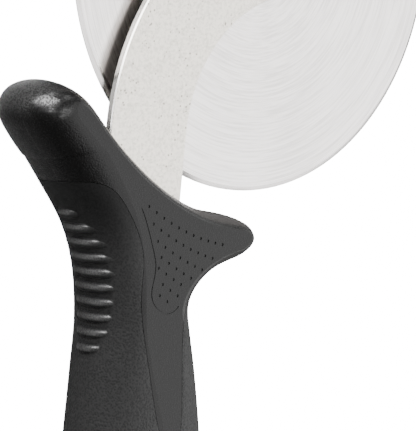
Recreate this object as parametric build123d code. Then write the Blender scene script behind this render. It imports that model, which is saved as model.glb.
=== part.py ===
from build123d import *
import os
from math import cos, pi, radians, sin, sqrt

# A pizza cutter: a steel wheel that spins at the end of a hooked flat strap, and a two-material handle with guards.
# Lengths are in millimetres and angles in degrees. X runs across the handle towards the wheel, Y runs along it from
# the butt to the wheel, and Z points out of the front, so the cutter lies on its back. The origin is on the flat back
# of the handle at its waist, the narrowest place, where the forefinger lies.

# Wheel
wheel_diameter = 101.6
wheel_thickness = 1.0
ground_edge_width = 0.9
cutting_edge_thickness = 0.2
wheel_across = 38.85
wheel_along = 72.0
wheel_bore_clearance = 0.05
wheel_side_clearance = 0.1

# Strap, with a narrower tang inside the handle
arm_width = 20.8
arm_thickness = 1.8
arm_edge_bevel = 0.3
arm_lean = 7.15
arm_bend_start = 36.9
tang_width = 12.0
tang_shoulder_up = 13.0
tang_depth = 44.0
tang_corner_radius = 2.0
tang_hole_diameter = 5.0
tang_hole_spacing = 28.0
tang_hole_below = 4.0

# Pivot
screw_diameter = 5.0
screw_clearance = 0.1
screw_head_diameter = 11.0
screw_head_height = 2.4
screw_socket_across = 3.2
screw_socket_depth = 1.4
screw_tip_length = 0.6
screw_tip_chamfer = 0.4
bushing_diameter = 8.0
washer_diameter = 13.0
washer_thickness = 0.8
collar_diameter = 16.0
collar_length = 1.9
nut_across_flats = 8.0
nut_hex_height = 2.2
nut_collar_diameter = 7.4
nut_collar_height = 1.2
nut_chamfer = 0.4

# Handle body
handle_depth = 20.4
handle_width = 34.8
handle_length = 108.0
thumb_reach = 31.2
thumb_rise = 48.5
finger_reach = 28.0
finger_rise = 16.2
rounding_steps = 6
rounding_turn = 87.0
points_per_edge = 4

# Soft grip
grip_wall = 2.0
seam_gap = 0.1

# Ribs on the thumb side of the grip
rib_count = 10
rib_pitch = 3.1
rib_top_up = 21.5
rib_radius = 1.15
rib_height = 0.9
rib_half_arc = 50.0
longest_rib_half = 5.8

# Dimpled panel on both faces
groove_width = 0.3
groove_depth = 0.1
dimple_diameter = 0.65
dimple_sides = 8
dimple_depth = 0.18
dimple_pitch = 2.0
dimple_drop = 1.45
dimple_drop_ease = 0.05

# Cutting tools run past the faces that they cut by this much
overrun = 2.0

# The handle's outline in four runs, each as the rim at mid-depth and then the border of the flat faces. First from
# the butt up the finger side to the waist, as shares of half the handle's width and of its length
finger_side_rim_shares = [(0, 1), (0.49, 0.98), (0.815, 0.925), (0.94, 0.83), (0.963, 0.7), (0.983, 0.54),
                          (0.963, 0.4), (0.89, 0.24), (0.77, 0.11), (0.625, 0.02)]
finger_side_face_shares = [(0, 0.9), (0.157, 0.885), (0.28, 0.84), (0.32, 0.76), (0.32, 0.66), (0.32, 0.53),
                           (0.32, 0.4), (0.32, 0.25), (0.32, 0.12), (0.32, 0.03)]

# The finger guard and the hollow top, as shares of the guard's reach and rise
finger_rim_shares = [(0.39, 0.05), (0.44, 0.235), (0.557, 0.4), (0.743, 0.5), (0.907, 0.6), (1, 0.8), (0.932, 1.037),
                     (0.661, 1.18), (0.314, 1.395)]
finger_face_shares = [(0.186, 0.075), (0.293, 0.37), (0.471, 0.568), (0.686, 0.685), (0.825, 0.74), (0.879, 0.84),
                      (0.832, 0.932), (0.636, 1.006), (0.268, 1.228)]

# The thumb guard, as shares of its reach and rise
thumb_rim_shares = [(0.00962, 0.584), (0.256, 0.722), (0.468, 0.87), (0.628, 0.969), (0.776, 1),
                    (0.923, 0.969), (0.994, 0.887), (0.942, 0.788), (0.811, 0.68), (0.657, 0.548),
                    (0.478, 0.379), (0.362, 0.175)]
thumb_face_shares = [(0.0641, 0.532), (0.321, 0.672), (0.538, 0.827), (0.644, 0.895), (0.692, 0.905),
                     (0.718, 0.891), (0.712, 0.862), (0.647, 0.812), (0.519, 0.73), (0.378, 0.61),
                     (0.224, 0.419), (0.151, 0.186)]

# From the waist down the thumb side to the butt, as shares of half the handle's width and of its length
thumb_side_rim_shares = [(0.624, 0.02), (0.775, 0.11), (0.945, 0.24), (1, 0.4), (1, 0.54), (0.98, 0.7), (0.945, 0.83),
                         (0.815, 0.925), (0.49, 0.98)]
thumb_side_face_shares = [(0.259, 0.03), (0.16, 0.11), (-0.025, 0.25), (0.03, 0.4), (0.1, 0.53), (0.17, 0.66),
                          (0.23, 0.76), (0.25, 0.84), (0.157, 0.885)]

# Edges of the bare plastic between the two sides of the grip, from its top edge down to the end of the bare band and
# up again under the finger guard, as shares of half the handle's width and of the thumb guard's rise
thumb_seam_shares = [(-1.065, 0.584), (-0.688, 0.532), (-0.509, 0.447), (-0.355, 0.336), (-0.302, 0.242),
                     (-0.324, 0.124), (-0.314, -0.02), (-0.213, -0.236), (-0.077, -0.472), (0.059, -0.783),
                     (0.113, -0.948)]
finger_seam_shares = [(0.162, -0.948), (0.206, -0.783), (0.256, -0.491), (0.285, -0.136), (0.349, 0.012),
                      (0.423, 0.06), (0.56, 0.095), (0.767, 0.11)]

# The groove down the near side of the dimpled panel and round its foot, and the first dimple of each of its rows with
# the row's count, as shares of the finger guard's reach and rise
groove_shares = [(-0.21, 1.377), (-0.171, 1.222), (-0.125, 0.988), (-0.093, 0.796), (-0.078, 0.648), (-0.097, 0.463),
                 (-0.118, 0.278), (-0.097, 0.167), (-0.04, 0.068), (0.028, 0.031), (0.091, 0.045), (0.142, 0.1)]
dimple_row_shares = [(-0.14, 1.39, 11), (-0.097, 1.165, 9), (-0.057, 0.945, 7), (-0.023, 0.74, 5), (-0.05, 0.61, 4),
                     (-0.011, 0.4, 3), (-0.04, 0.265, 2)]

# Ribs: the place of the longest rib and half the length of the patch that they fill, as shares of the ribs' count,
# and the width of the rounded side that carries them, as a share of the handle's width
rib_middle_share = 0.46
rib_patch_share = 0.51
rib_side_share = 0.187

# Heights and places that follow from the sizes above
half_depth = handle_depth / 2
half_width = handle_width / 2
wheel_radius = wheel_diameter / 2
arm_back = half_depth - arm_thickness / 2
arm_front = half_depth + arm_thickness / 2
collar_back = arm_back - collar_length
wheel_front = collar_back - wheel_side_clearance
wheel_back = wheel_front - wheel_thickness
bushing_back = wheel_back - wheel_side_clearance
rear_washer_back = bushing_back - washer_thickness
nut_back = rear_washer_back - nut_hex_height - nut_collar_height
screw_tip = nut_back - screw_tip_length
screw_seat = arm_front + washer_thickness
screw_hole_radius = screw_diameter / 2 + screw_clearance
hub = Vector(wheel_across, wheel_along, 0)
lean = Vector(sin(radians(arm_lean)), cos(radians(arm_lean)), 0)


def across(direction):
    """The direction a quarter turn clockwise, seen from the front."""
    return Vector(direction.Y, -direction.X, 0)


def placed(shares, reach, rise):
    """Points of an outline from shares of two named sizes."""
    return [Vector(x * reach, y * rise, 0) for x, y in shares]


def inset(points, distance):
    """A closed outline's points, moved inwards square to the line through their neighbours."""
    moved = []
    for i, point in enumerate(points):
        along = (points[(i + 1) % len(points)] - points[i - 1]).normalized()
        moved.append(point - across(along) * distance)
    return moved


# Handle

def handle_outline(finger_side, finger, thumb, thumb_side):
    """Points round the handle, from the butt up the finger side and down the thumb side."""
    points = placed(finger_side, half_width, -handle_length)
    points += placed(finger, finger_reach, finger_rise)
    points += placed(thumb, -thumb_reach, thumb_rise)
    points += placed(thumb_side, -half_width, -handle_length)
    return points


def closed_wire(points, spacing):
    """A closed wire of short splines that meet on shared tangents, with one spacing for every level of the handle."""
    count = len(points)
    edges = []
    for first in range(0, count, points_per_edge):
        run = [points[i % count] for i in range(first, first + points_per_edge + 1)]
        last = (first + points_per_edge) % count
        tangents = [(points[(i + 1) % count] - points[i - 1]).normalized() for i in (first, last)]
        gaps = spacing[first:first + points_per_edge]
        parameters = [sum(gaps[:i]) / sum(gaps) for i in range(points_per_edge + 1)]
        edges.append(Edge.make_spline(run, tangents=tangents, parameters=parameters))
    return Wire(edges)


def handle_form(skin):
    """The handle under a skin: flat faces whose border swells out to the rim along quarter ellipses."""
    rim = handle_outline(finger_side_rim_shares, finger_rim_shares, thumb_rim_shares, thumb_side_rim_shares)
    face = handle_outline(finger_side_face_shares, finger_face_shares, thumb_face_shares, thumb_side_face_shares)
    spacing = [(rim[i] - rim[i - 1]).length + (face[i] - face[i - 1]).length for i in range(len(rim))]
    spacing = spacing[1:] + spacing[:1]
    rim = inset(rim, skin)
    top_turn = radians(rounding_turn)
    levels = []
    for step in range(rounding_steps + 1):
        turn = top_turn * (2 * step / rounding_steps - 1)
        swell = (cos(turn) - cos(top_turn)) / (1 - cos(top_turn))
        lift = Vector(0, 0, half_depth + (half_depth - skin) * sin(turn) / sin(top_turn))
        levels.append(closed_wire([i + (o - i) * swell + lift for i, o in zip(face, rim)], spacing))
    return Solid.make_loft(levels)


def rib(body, index):
    """One rib: a bead bent round the thumb side, tighter than the body is, so that it sinks in at both ends."""
    up = rib_top_up - index * rib_pitch
    line = Axis((-2 * handle_width, up, half_depth), (1, 0, 0))
    surface = min(point.X for point, _ in body.find_intersection_points(line))
    off_middle = (index / rib_count - rib_middle_share) / rib_patch_share
    half_length = longest_rib_half * sqrt(1 - off_middle ** 2)
    body_bend = half_depth ** 2 / (handle_width * rib_side_share)
    bend = 1 / (1 / body_bend + 2 * rib_height / half_length ** 2)
    centre = surface - rib_height + rib_radius + bend
    section = Plane.XY * Pos(-bend, 0) * Circle(rib_radius)
    start = Rot(0, rib_half_arc, 0) * section
    bead = revolve(start, Axis.Y, -2 * rib_half_arc)
    return Pos(centre, up, half_depth) * bead


def bare_plan(gap):
    """Plan of the plastic that the grip leaves bare, grown by a gap."""
    thumb = placed(thumb_seam_shares, half_width, thumb_rise)
    finger = placed(finger_seam_shares, half_width, thumb_rise)
    seam = thumb + finger
    far_left, far_right = -2 * thumb_reach, 2 * finger_reach
    top = 2 * thumb_rise
    corners = [Vector(far_right, finger[-1].Y, 0), Vector(far_right, top, 0), Vector(far_left, top, 0),
               Vector(far_left, thumb[0].Y, 0)]
    grown = inset(seam + corners, -gap)
    grown[0] = Vector(grown[0].X, thumb[0].Y - gap, 0)
    grown[-1] = Vector(grown[-1].X, thumb[0].Y - gap, 0)
    count = len(seam)
    edge = Spline(*grown[:count])
    rest = Polyline(grown[count - 1], *grown[count:], grown[0])
    return make_face([edge, rest])


def bare_prism(gap):
    return Pos(0, 0, -overrun) * extrude(bare_plan(gap), handle_depth + 2 * overrun)


def dimple_row(row_across, row_up, count):
    """A row of small pits that follows the hollow top edge, as cut into the front face."""
    pits = []
    for index in range(count):
        drop = index * (dimple_drop - index * dimple_drop_ease)
        place = Vector(row_across * finger_reach + index * dimple_pitch, row_up * finger_rise - drop,
                       handle_depth - dimple_depth)
        pits.append(Pos(place) * extrude(RegularPolygon(dimple_diameter / 2, dimple_sides), dimple_depth + overrun))
    return pits


def panel_cutters():
    """The panel's groove and its dimples, as cut into the front face."""
    plan = trace(Spline(*placed(groove_shares, finger_reach, finger_rise)), groove_width)
    cutters = [Pos(0, 0, handle_depth - groove_depth) * extrude(plan, groove_depth + overrun)]
    for row_across, row_up, count in dimple_row_shares:
        cutters += dimple_row(row_across, row_up, count)
    return cutters


# Strap

def arm():
    """The hooked strap: parallel edges that run straight, bend to the wheel's centre and end round it."""
    side = across(lean)
    bend = lean * arm_bend_start
    shoulder = lean * tang_shoulder_up
    tip = lean * -tang_depth
    half, half_tang = side * (arm_width / 2), side * (tang_width / 2)
    hook = TangentArc(bend, hub, tangent=lean)
    into_hub = hook % 1
    hub_half = across(into_hub) * (arm_width / 2)
    outline = [
        Line(shoulder - half, bend - half),
        TangentArc(bend - half, hub - hub_half, tangent=lean),
        ThreePointArc(hub - hub_half, hub + into_hub * (arm_width / 2), hub + hub_half),
        TangentArc(bend + half, hub + hub_half, tangent=lean),
        Line(bend + half, shoulder + half),
        Line(shoulder + half, shoulder + half_tang),
        Line(shoulder + half_tang, tip + half_tang),
        ThreePointArc(tip + half_tang, tip - lean * (tang_width / 2), tip - half_tang),
        Line(tip - half_tang, shoulder - half_tang),
        Line(shoulder - half_tang, shoulder - half),
    ]
    plan = make_face(outline)
    strap = Pos(0, 0, arm_back) * extrude(plan, arm_thickness)
    corners = [e for e in strap.edges().filter_by(Axis.Z)
               if abs((e.center() - shoulder).dot(lean)) < tang_corner_radius]
    strap = fillet(corners, tang_corner_radius)
    front = strap.faces().sort_by(Axis.Z)[-1].edges()
    back = strap.faces().sort_by(Axis.Z)[0].edges()
    strap = chamfer(front + back, arm_edge_bevel)
    holes = [Pos(hub.X, hub.Y, half_depth) * Cylinder(screw_hole_radius, 2 * arm_thickness)]
    for down in (tang_hole_below, tang_hole_below + tang_hole_spacing):
        place = lean * -down
        holes.append(Pos(place.X, place.Y, half_depth) * Cylinder(tang_hole_diameter / 2, 2 * arm_thickness))
    return strap - holes


# Wheel and pivot

def ring(outer, inner, low, high):
    """A plain ring on the wheel's axis between two heights."""
    place = Pos(hub.X, hub.Y, (low + high) / 2)
    return place * (Cylinder(outer, high - low) - Cylinder(inner, 2 * (high - low)))


def wheel_blade():
    """A disc ground from both sides to a thin edge."""
    bore = bushing_diameter / 2 + wheel_bore_clearance
    middle = (wheel_front + wheel_back) / 2
    half, half_edge = wheel_thickness / 2, cutting_edge_thickness / 2
    ground = wheel_radius - ground_edge_width
    profile = Polyline((bore, -half), (ground, -half), (wheel_radius, -half_edge), (wheel_radius, half_edge),
                       (ground, half), (bore, half), close=True)
    disc = revolve(Plane.XZ * make_face(profile), Axis.Z)
    return Pos(hub.X, hub.Y, middle) * disc


def pivot_screw():
    """A domed head with a hexagon socket on a plain shank."""
    radius = screw_diameter / 2
    head_radius = screw_head_diameter / 2
    brim = screw_head_height / 4
    outer, top = (head_radius, brim), (0, screw_head_height)
    head = make_face([
        Line((0, 0), (head_radius, 0)),
        Line((head_radius, 0), outer),
        TangentArc(top, outer, tangent=(1, 0)),
        Line(top, (0, 0)),
    ])
    dome = Pos(hub.X, hub.Y, screw_seat) * revolve(Plane.XZ * head, Axis.Z)
    shank = Pos(hub.X, hub.Y, (screw_seat + screw_tip) / 2) * Cylinder(radius, screw_seat - screw_tip)
    shank = chamfer(shank.faces().sort_by(Axis.Z)[0].edges(), screw_tip_chamfer)
    top = screw_seat + screw_head_height
    socket = extrude(RegularPolygon(screw_socket_across / 2, 6, major_radius=False), screw_socket_depth + overrun)
    return dome + shank - Pos(hub.X, hub.Y, top - screw_socket_depth) * socket


def lock_nut():
    """A hexagon with a round locking collar behind it."""
    hexagon = extrude(RegularPolygon(nut_across_flats / 2, 6, major_radius=False), nut_hex_height)
    nut = Pos(hub.X, hub.Y, rear_washer_back - nut_hex_height) * hexagon
    collar = ring(nut_collar_diameter / 2, screw_diameter / 2, nut_back, rear_washer_back - nut_hex_height)
    rim = collar.faces().sort_by(Axis.Z)[0].edges().sort_by(SortBy.LENGTH)[-1]
    bore = Pos(hub.X, hub.Y, rear_washer_back) * Cylinder(screw_diameter / 2, 4 * nut_hex_height)
    return nut + chamfer(rim, nut_chamfer) - bore


def build():
    """Every piece of the cutter by name."""
    strap = arm()
    body = handle_form(0)
    body = body.fuse(*[rib(body, index) for index in range(rib_count)])
    shell = body - handle_form(grip_wall)
    core = body - (shell - bare_prism(0))
    front = panel_cutters()
    back = [cutter.mirror(Plane.XY.offset(half_depth)) for cutter in front]
    return {
        "wheel_blade": wheel_blade(),
        "arm": strap,
        "handle_core": core - strap - front - back,
        "soft_grip": shell - bare_prism(seam_gap),
        "pivot_bushing": ring(bushing_diameter / 2, screw_hole_radius, bushing_back, collar_back),
        "spacer_collar": ring(collar_diameter / 2, screw_hole_radius, collar_back, arm_back),
        "pivot_screw": pivot_screw(),
        "front_washer": ring(washer_diameter / 2, screw_hole_radius, arm_front, screw_seat),
        "rear_washer": ring(washer_diameter / 2, screw_hole_radius, rear_washer_back, bushing_back),
        "lock_nut": lock_nut(),
    }


os.makedirs("parts", exist_ok=True)
for name, piece in build().items():
    export_step(piece, f"parts/{name}.step")
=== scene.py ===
import math

import bpy
from mathutils import Matrix, Vector


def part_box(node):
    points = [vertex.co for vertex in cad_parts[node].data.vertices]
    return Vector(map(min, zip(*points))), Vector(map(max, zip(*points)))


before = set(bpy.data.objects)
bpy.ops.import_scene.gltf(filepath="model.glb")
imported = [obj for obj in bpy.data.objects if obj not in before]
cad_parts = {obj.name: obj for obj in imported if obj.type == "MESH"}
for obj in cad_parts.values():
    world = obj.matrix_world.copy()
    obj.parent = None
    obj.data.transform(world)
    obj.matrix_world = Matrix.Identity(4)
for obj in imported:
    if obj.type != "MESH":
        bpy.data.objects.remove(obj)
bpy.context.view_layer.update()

bl_info = {
    "name": "Pizza cutter",
    "version": (1, 0, 0),
    "blender": (4, 5, 0),
    "location": "3D View > Sidebar > Pizza cutter",
    "description": "Finishes of a pizza cutter, its wheel, strap, pivot and two-part handle",
    "category": "Object",
}

# Places on the cutter, in metres. The origin lies on the handle's middle line, and the wheel's axis runs up.
# A pair of two heights, widths or radii is where a finish fades in.

HUB = (0.03885, 0.072)
WHEEL_MIDDLE = 0.0068
GROUND_EDGE = (0.0490, 0.0493)
STRAP_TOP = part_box("arm")[1][2]
CUT_EDGE = (STRAP_TOP - 0.00012, STRAP_TOP - 0.00003)
HANDLE_MIDDLE = sum(corner[2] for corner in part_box("handle_core")) / 2
HANDLE_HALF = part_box("handle_core")[1][2] - HANDLE_MIDDLE
FLAT_FACE = (HANDLE_HALF - 0.0008, HANDLE_HALF - 0.0001)
THUMB_GUARD = ((0.0205, 0.0225), (0.038, 0.043))
FINGER_GUARD = ((0.006, 0.012), (0.004, 0.009))
GUARD_END = (-0.0275, 0.0455)
GUARD_SPOT_SQUARED = (0.000004, 0.000028)
MOULD_LINE_UP = 0.0031
MOULD_LINE_HALF = (0.00005, 0.00016)
RIB_PITCH = 0.0031
TOP_RIB = 0.0218
RIB_PATCH_MIDDLE = 0.0072
RIB_PATCH_HALF = (0.0158, 0.0058)

# Grains in a metre of each texture

PIT_SCALE = 900.0
FLECK_SCALE = 1500.0
BLAST_SCALE = 6000.0
SPARK_SCALE = 3000.0
RUBBED_SCALE = 3300.0

# Fixed colours

PIT_BROWN = (0.14, 0.13, 0.11, 1)
# Lighter steel for the strap's cut edge: partly smoother steel, partly a painted highlight
CUT_STEEL_AND_HIGHLIGHT = (0.85, 0.83, 0.79, 1)
MOULD_LINE_GREY = (0.05, 0.05, 0.05, 1)
# A lighter plastic: painted light on the finger guard's rounded rim
PAINTED_LIGHT_PLASTIC = (0.034, 0.032, 0.031, 1)

# The softboxes round the cutter: azimuth and elevation in degrees, distance, width and height in metres,
# and power in watts

SOFTBOXES = {
    "key_softbox": (-7, 46, 1.6, 1.8, 1.8, 48.0),
    "crest_softbox": (98, 7, 1.2, 0.4, 0.2, 1.5),
    "rib_softbox": (133, 24, 1.6, 1.0, 1.25, 48.0),
    "top_softbox": (70, 30, 1.6, 0.8, 0.8, 5.0),
    "overhead_softbox": (-100, 76, 1.6, 1.0, 1.0, 12.0),
    "edge_softbox": (30, 12, 1.6, 0.5, 0.5, 1.2),
    "side_softbox": (-7, 15, 1.6, 3.1, 0.9, 15.0),
    "low_softbox": (-54, 33, 1.6, 0.9, 0.7, 6.0),
    "fill_softbox": (172, 47, 1.6, 0.35, 0.35, 3.0),
}
PAPER_WHITE = 16.0
ROOM_LIGHT = 0.05

# The photograph's camera: its three axes, its place from the hub, and its focal length and height in pixels

CAMERA_AXES = (Vector((0.73250522, 0.0, 0.68076142)),
               Vector((0.08565191, 0.99205336, -0.0921622)),
               Vector((-0.67535165, 0.12581781, 0.72668427)))
CAMERA_FROM_HUB = Vector((-0.48510775, 0.03272296, 0.5067738))
FOCAL_PIXELS = 3355.927
HEIGHT_PIXELS = 431


# Shader wiring

SOCKETS = {"ior": "IOR", "specular_level": "Specular IOR Level", "coat_ior": "Coat IOR"}


class Wire:
    """A number socket that Python's operators join through Math nodes."""

    def __init__(self, finish, socket):
        self.finish = finish
        self.socket = socket

    def math(self, operation, *others):
        values = [other.socket if isinstance(other, Wire) else other for other in others]
        node = self.finish.node("ShaderNodeMath", {"operation": operation}, dict(enumerate(values)))
        return Wire(self.finish, node.outputs[0])

    def __add__(self, other):
        return self.math("ADD", self, other)

    __radd__ = __add__

    def __sub__(self, other):
        return self.math("SUBTRACT", self, other)

    def __rsub__(self, other):
        return self.math("SUBTRACT", other, self)

    def __mul__(self, other):
        return self.math("MULTIPLY", self, other)

    __rmul__ = __mul__

    def __truediv__(self, other):
        return self.math("DIVIDE", self, other)

    def __pow__(self, other):
        return self.math("POWER", self, other)

    def fade(self, low, high):
        """0 below low and 1 above high, with a smooth step between them."""
        node = self.finish.node("ShaderNodeMapRange", {"interpolation_type": "SMOOTHSTEP", "clamp": True},
                                {"Value": self, "From Min": low, "From Max": high})
        return Wire(self.finish, node.outputs[0])


class Finish:
    """A procedural material: a Principled shader and the nodes that feed it."""

    def __init__(self, name, **sockets):
        self.material = bpy.data.materials.new(name)
        self.material.use_nodes = True
        self.tree = self.material.node_tree
        self.shader = self.tree.nodes["Principled BSDF"]
        self.place = self.node("ShaderNodeTexCoord").outputs["Object"]
        self.shade(**sockets)

    def feed(self, node, sockets):
        for key, value in sockets.items():
            value = value.socket if isinstance(value, Wire) else value
            if isinstance(value, bpy.types.NodeSocket):
                self.tree.links.new(value, node.inputs[key])
            else:
                node.inputs[key].default_value = value

    def node(self, kind, options=None, sockets=None):
        node = self.tree.nodes.new(kind)
        for key, value in (options or {}).items():
            setattr(node, key, value)
        self.feed(node, sockets or {})
        return node

    def axes(self, centre=(0, 0, 0)):
        """The three coordinates of the surface, counted from a centre."""
        mapping = self.node("ShaderNodeMapping", {"vector_type": "TEXTURE"},
                            {"Vector": self.place, "Location": centre})
        parts = self.node("ShaderNodeSeparateXYZ", None, {0: mapping.outputs[0]})
        return [Wire(self, out) for out in parts.outputs]

    def vector(self, x, y, z):
        return self.node("ShaderNodeCombineXYZ", None, {0: x, 1: y, 2: z}).outputs[0]

    def noise(self, scale, detail=2.0, roughness=0.5, vector=None):
        node = self.node("ShaderNodeTexNoise", None, {"Vector": vector or self.place, "Scale": scale,
                                                      "Detail": detail, "Roughness": roughness})
        return Wire(self, node.outputs[0])

    def cells(self, scale):
        """The distance to the nearest of many scattered points."""
        node = self.node("ShaderNodeTexVoronoi", None, {"Vector": self.place, "Scale": scale})
        return Wire(self, node.outputs["Distance"])

    def mix(self, share, first, second):
        """The first colour where the share is 0, the second where it is 1."""
        node = self.node("ShaderNodeMix", {"data_type": "RGBA"}, {0: share, 6: first, 7: second})
        return node.outputs[2]

    def bump(self, height, distance, strength=1.0):
        return self.node("ShaderNodeBump", None, {"Height": height, "Distance": distance,
                                                  "Strength": strength}).outputs[0]

    def shade(self, **sockets):
        self.feed(self.shader, {SOCKETS.get(key, key.replace("_", " ").title()): value
                                for key, value in sockets.items()})


def dress(node, material):
    """Gives a carried-over piece its material."""
    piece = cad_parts[node]
    piece.data.materials.clear()
    piece.data.materials.append(material)


def tone(colour, share=1.0):
    """A colour, darkened or lightened to a share of itself."""
    return (*(share * part for part in colour[:3]), 1.0)


def squared(first, second):
    """The squared distance from the centre at these two coordinates."""
    return first * first + second * second


# Sizes and colours that a user may change

class FinishSettings(bpy.types.PropertyGroup):
    """Grain sizes and colours of the cutter's surfaces."""

    blade_colour: bpy.props.FloatVectorProperty(
        name="Blade colour", description="Colour of the turned wheel steel", subtype="COLOR", size=3,
        default=(0.63, 0.605, 0.59), min=0, max=1)
    strap_colour: bpy.props.FloatVectorProperty(
        name="Strap colour", description="Colour of the blasted strap steel", subtype="COLOR", size=3,
        default=(0.66, 0.625, 0.56), min=0, max=1)
    core_colour: bpy.props.FloatVectorProperty(
        name="Core colour", description="Colour of the hard plastic", subtype="COLOR", size=3,
        default=(0.006, 0.0059, 0.0058), min=0, max=1)
    grip_colour: bpy.props.FloatVectorProperty(
        name="Grip colour", description="Colour of the soft grip", subtype="COLOR", size=3,
        default=(0.0155, 0.0155, 0.0155), min=0, max=1)
    ring_pitch: bpy.props.FloatProperty(
        name="Turning ring pitch", description="Distance between the turned rings on the wheel",
        unit="LENGTH", default=0.0004, min=0.0001, max=0.002)
    grain_size: bpy.props.FloatProperty(
        name="Grip grain size", description="Size of one grain of the grip's leathery texture",
        unit="LENGTH", default=0.00045, min=0.0001, max=0.003)


def settings():
    return bpy.context.scene.cutter_finish


# Pieces

class CUTTER_OT_wheel(bpy.types.Operator):
    """Finishes the wheel: steel turned in fine rings, with a polished ground edge"""

    bl_idname = "cutter.wheel"
    bl_label = "Wheel"

    def execute(self, context):
        steel = Finish("wheel_steel", metallic=1.0)
        across, along, _ = steel.axes(centre=(*HUB, 0))
        radius = squared(across, along) ** 0.5
        ring = radius / settings().ring_pitch
        turned = steel.vector(ring, across / radius * 3.0, along / radius * 3.0)
        rings = steel.noise(1.0, detail=3.0, roughness=0.6, vector=turned)
        cloud = steel.noise(30.0, detail=1.0)
        colour = settings().blade_colour
        tint = steel.mix((rings * 0.8 + cloud * 0.2).fade(0.32, 0.62), tone(colour, 0.72), tone(colour))
        edge = radius.fade(*GROUND_EDGE)
        steel.shade(base_color=tint, roughness=0.24 + 0.14 * rings - 0.05 * edge,
                    normal=steel.bump(rings, 0.00002, 0.35))
        dress("wheel_blade", steel.material)
        return {"FINISHED"}


class CUTTER_OT_strap(bpy.types.Operator):
    """Finishes the strap: lightly blasted steel with fine pits and a smoother cut edge with a painted
    highlight
    """

    bl_idname = "cutter.strap"
    bl_label = "Strap"

    def execute(self, context):
        steel = Finish("strap_steel", metallic=1.0)
        grain = steel.noise(BLAST_SCALE, detail=2.0)
        patch = steel.noise(160.0, detail=2.0)
        pits = (1 - steel.cells(PIT_SCALE).fade(0.12, 0.26)) * patch.fade(0.42, 0.56)
        fleck = steel.noise(FLECK_SCALE, detail=3.0, roughness=0.7).fade(0.3, 0.6)
        colour = settings().strap_colour
        tint = steel.mix(grain * 0.3 + fleck * 0.7, tone(colour, 0.62), tone(colour))
        pitted = steel.mix(pits * 0.85, tint, PIT_BROWN)
        _, _, up = steel.axes()
        edge = 1 - up.fade(*CUT_EDGE)
        # The cut edge is smoother steel, and its lighter colour is a painted highlight along the edge
        bright = steel.mix(edge, pitted, CUT_STEEL_AND_HIGHLIGHT)
        steel.shade(base_color=bright, roughness=0.42 + 0.1 * grain - 0.24 * edge,
                    normal=steel.bump(grain - pits, 0.00002, 0.4))
        dress("arm", steel.material)
        return {"FINISHED"}


class CUTTER_OT_core(bpy.types.Operator):
    """Finishes the hard plastic core: dark satin with a fine spark texture, a faint mould line and painted
    light on the finger guard's rim
    """

    bl_idname = "cutter.core"
    bl_label = "Handle core"

    def execute(self, context):
        plastic = Finish("hard_plastic", specular_level=0.12, coat_roughness=0.24, coat_ior=1.65)
        spark = plastic.noise(SPARK_SCALE, detail=2.0, roughness=0.6)
        cloud = plastic.noise(90.0, detail=2.0)
        colour = settings().core_colour
        tint = plastic.mix(cloud * 0.5 + spark * 0.5, tone(colour, 0.8), tone(colour))
        across, along, up = plastic.axes(centre=(0, 0, HANDLE_MIDDLE))
        flat = up.math("ABSOLUTE", up).fade(*FLAT_FACE)
        off_line = up.math("ABSOLUTE", up - MOULD_LINE_UP)
        on_thumb_guard = (0 - across).fade(*THUMB_GUARD[0]) * (1 - along.fade(*THUMB_GUARD[1]))
        mould_line = (1 - off_line.fade(*MOULD_LINE_HALF)) * on_thumb_guard
        lined = plastic.mix(mould_line * 0.25, tint, MOULD_LINE_GREY)
        end_across, end_along, _ = plastic.axes(centre=(*GUARD_END, 0))
        polished = 1 - squared(end_across, end_along).fade(*GUARD_SPOT_SQUARED)
        on_finger_guard = across.fade(*FINGER_GUARD[0]) * along.fade(*FINGER_GUARD[1])
        # The finger guard's rounded rim is rougher, and its lighter colour is painted light that brightens
        # the shaded rim
        matte_and_painted_light = on_finger_guard * (1 - flat)
        rim_painted_light = plastic.mix(matte_and_painted_light, lined, PAINTED_LIGHT_PLASTIC)
        plastic.shade(base_color=rim_painted_light, roughness=0.2 + 0.12 * spark + 0.35 * matte_and_painted_light,
                      coat_weight=polished * (0.3 + 0.7 * spark.fade(0.42, 0.58)),
                      normal=plastic.bump(spark * (1 - 0.6 * flat) + mould_line * 0.15, 0.00012, 1.0))
        dress("handle_core", plastic.material)
        return {"FINISHED"}


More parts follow.
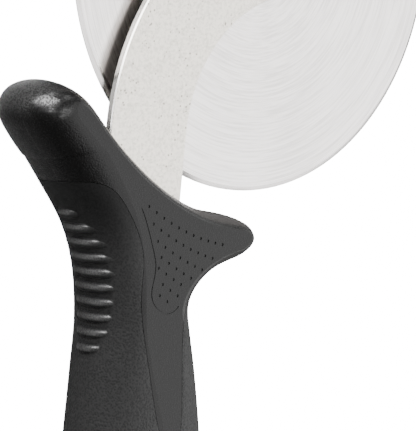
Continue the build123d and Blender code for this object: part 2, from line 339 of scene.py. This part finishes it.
class CUTTER_OT_grip(bpy.types.Operator):
    """Finishes the soft grip: black rubber with a leathery grain, rubbed rib crests, and painted shade in
    the rib grooves and towards the thumb guard
    """

    bl_idname = "cutter.grip"
    bl_label = "Soft grip"

    def execute(self, context):
        rubber = Finish("soft_rubber", specular_level=0.13, coat_roughness=0.3, coat_ior=1.9)
        scale = 1 / settings().grain_size
        wobble = rubber.noise(scale * 0.6, detail=2.0)
        speckle = 0.4 + 0.6 * rubber.noise(RUBBED_SCALE, detail=2.0).fade(0.3, 0.65)
        leather = rubber.cells(scale).fade(0.15, 0.75) * 0.7 + wobble * 0.5
        colour = settings().grip_colour
        tint = rubber.mix(leather, tone(colour, 0.7), tone(colour, 1.4))
        across, along, up = rubber.axes(centre=(0, RIB_PATCH_MIDDLE, HANDLE_MIDDLE))
        worn = along.fade(-0.007, 0.009)
        far_along, far_up = along / RIB_PATCH_HALF[0], up / RIB_PATCH_HALF[1]
        thumb_side = (0 - across).fade(0.004, 0.007)
        patch = (1 - squared(far_along, far_up).fade(0.8, 1.1)) * thumb_side
        turn = (along + (RIB_PATCH_MIDDLE - TOP_RIB)) * (2 * math.pi / RIB_PITCH)
        crest = (turn.math("COSINE", turn) * 0.5 + 0.5).fade(0.4, 1.0)
        # Painted shade: darker in the grooves between the ribs, and darker towards the thumb guard outside
        # the rib patch
        groove = patch * (1 - crest)
        painted_shade = groove * 0.4 + (1 - patch) * along.fade(0.002, 0.018) * 0.8
        painted_shade_tint = rubber.mix(painted_shade, tint, tone(colour, 0.2))
        rubber.shade(base_color=painted_shade_tint, roughness=0.5 + 0.12 * wobble - 0.1 * patch * crest,
                     coat_weight=patch * crest * (0.35 + 0.65 * far_up.fade(-0.7, 0.7)) * speckle,
                     normal=rubber.bump(leather * (1 - 0.8 * worn), 0.00011, 0.8))
        dress("soft_grip", rubber.material)
        return {"FINISHED"}


class CUTTER_OT_pivot(bpy.types.Operator):
    """Finishes the pivot's screw, washers, nut, bushing and collar"""

    bl_idname = "cutter.pivot"
    bl_label = "Pivot"

    def execute(self, context):
        bright = Finish("bright_steel", metallic=1.0)
        swirl = bright.noise(2500.0, detail=2.0)
        bright.shade(base_color=bright.mix(swirl, (0.6, 0.6, 0.6, 1), (0.75, 0.75, 0.74, 1)),
                     roughness=0.2 + 0.12 * swirl, normal=bright.bump(swirl, 0.00001, 0.3))
        for node in ("pivot_screw", "front_washer", "rear_washer", "lock_nut"):
            dress(node, bright.material)
        brass = Finish("bushing_brass", metallic=1.0)
        turned = brass.noise(3000.0, detail=2.0)
        brass.shade(base_color=brass.mix(turned, (0.5, 0.36, 0.15, 1), (0.68, 0.52, 0.26, 1)),
                    roughness=0.25 + 0.1 * turned)
        dress("pivot_bushing", brass.material)
        nylon = Finish("collar_nylon", ior=1.5)
        milky = nylon.noise(700.0, detail=2.0)
        nylon.shade(base_color=nylon.mix(milky, (0.66, 0.65, 0.61, 1), (0.74, 0.73, 0.7, 1)),
                    roughness=0.35 + 0.15 * milky, normal=nylon.bump(milky, 0.00002, 0.3))
        dress("spacer_collar", nylon.material)
        return {"FINISHED"}


class CUTTER_OT_stage(bpy.types.Operator):
    """Adds the pale floor, the soft studio lights and the photograph's camera"""

    bl_idname = "cutter.stage"
    bl_label = "Stage"

    def execute(self, context):
        bpy.ops.object.select_all(action="DESELECT")
        bounce = self.plane("stage_bounce", -0.001, 0.0, (0.8, 0.2))
        bounce.visible_camera = False
        floor = self.plane("stage_floor", 0.0, PAPER_WHITE, (0.87, 0.87))
        floor.visible_glossy = False
        floor.visible_diffuse = False
        for name, placing in SOFTBOXES.items():
            self.lamp(name, *placing)
        world = bpy.data.worlds.new("studio")
        bpy.context.scene.world = world
        world.use_nodes = True
        world.node_tree.nodes["Background"].inputs[0].default_value = (1, 1, 1, 1)
        world.node_tree.nodes["Background"].inputs[1].default_value = ROOM_LIGHT
        self.camera()
        return {"FINISHED"}

    def plane(self, name, height, glow, tones):
        """A plane of the stage, in a grey tone left and right, lit from within by its glow."""
        bpy.ops.mesh.primitive_plane_add(size=6.0, location=(0, 0, height))
        plane = bpy.context.object
        plane.name = name
        paper = Finish(name, roughness=0.9, emission_strength=glow)
        across, _, _ = paper.axes()
        left, right = tones
        grey = paper.mix(across.fade(0.01, 0.05), tone([left] * 3), tone([right] * 3))
        paper.shade(base_color=grey, emission_color=(1, 1, 1, 1))
        plane.data.materials.append(paper.material)
        return plane

    def lamp(self, name, azimuth, elevation, distance, width, height, power):
        """A softbox that faces the cutter from a direction in degrees, with its size in metres."""
        turn, lift = math.radians(azimuth), math.radians(elevation)
        direction = Vector((math.cos(lift) * math.cos(turn), math.cos(lift) * math.sin(turn),
                            math.sin(lift)))
        lamp = bpy.data.lights.new(name, "AREA")
        lamp.shape = "RECTANGLE"
        lamp.size = width
        lamp.size_y = height
        lamp.energy = power
        holder = bpy.data.objects.new(name, lamp)
        bpy.context.scene.collection.objects.link(holder)
        aim = Vector((*HUB, WHEEL_MIDDLE))
        holder.location = aim + direction * distance
        holder.rotation_mode = "QUATERNION"
        holder.rotation_quaternion = direction.to_track_quat("Z", "Y")

    def camera(self):
        """The camera that took the photograph."""
        data = bpy.data.cameras.new("photo_camera")
        data.sensor_width = 36.0
        data.lens = data.sensor_width * FOCAL_PIXELS / HEIGHT_PIXELS
        data.clip_start = 0.05
        data.clip_end = 20.0
        holder = bpy.data.objects.new("photo_camera", data)
        bpy.context.scene.collection.objects.link(holder)
        place = Matrix(CAMERA_AXES).transposed().to_4x4()
        place.translation = Vector((*HUB, WHEEL_MIDDLE)) + CAMERA_FROM_HUB
        holder.matrix_world = place
        bpy.context.scene.camera = holder


class CUTTER_PT_panel(bpy.types.Panel):
    """Lists the cutter's pieces and their settings"""

    bl_idname = "CUTTER_PT_panel"
    bl_label = "Pizza cutter"
    bl_space_type = "VIEW_3D"
    bl_region_type = "UI"
    bl_category = "Pizza cutter"

    def draw(self, context):
        for name in FinishSettings.__annotations__:
            self.layout.prop(context.scene.cutter_finish, name)
        for piece in PIECES:
            self.layout.operator(piece.bl_idname)


PIECES = (CUTTER_OT_wheel, CUTTER_OT_strap, CUTTER_OT_core, CUTTER_OT_grip, CUTTER_OT_pivot, CUTTER_OT_stage)
CLASSES = (FinishSettings, *PIECES, CUTTER_PT_panel)


def register():
    for cls in CLASSES:
        bpy.utils.register_class(cls)
    bpy.types.Scene.cutter_finish = bpy.props.PointerProperty(type=FinishSettings)


def unregister():
    del bpy.types.Scene.cutter_finish
    for cls in reversed(CLASSES):
        bpy.utils.unregister_class(cls)


def main():
    register()
    bpy.ops.cutter.wheel()
    bpy.ops.cutter.strap()
    bpy.ops.cutter.core()
    bpy.ops.cutter.grip()
    bpy.ops.cutter.pivot()
    bpy.ops.cutter.stage()


if __name__ == "__main__":
    main()
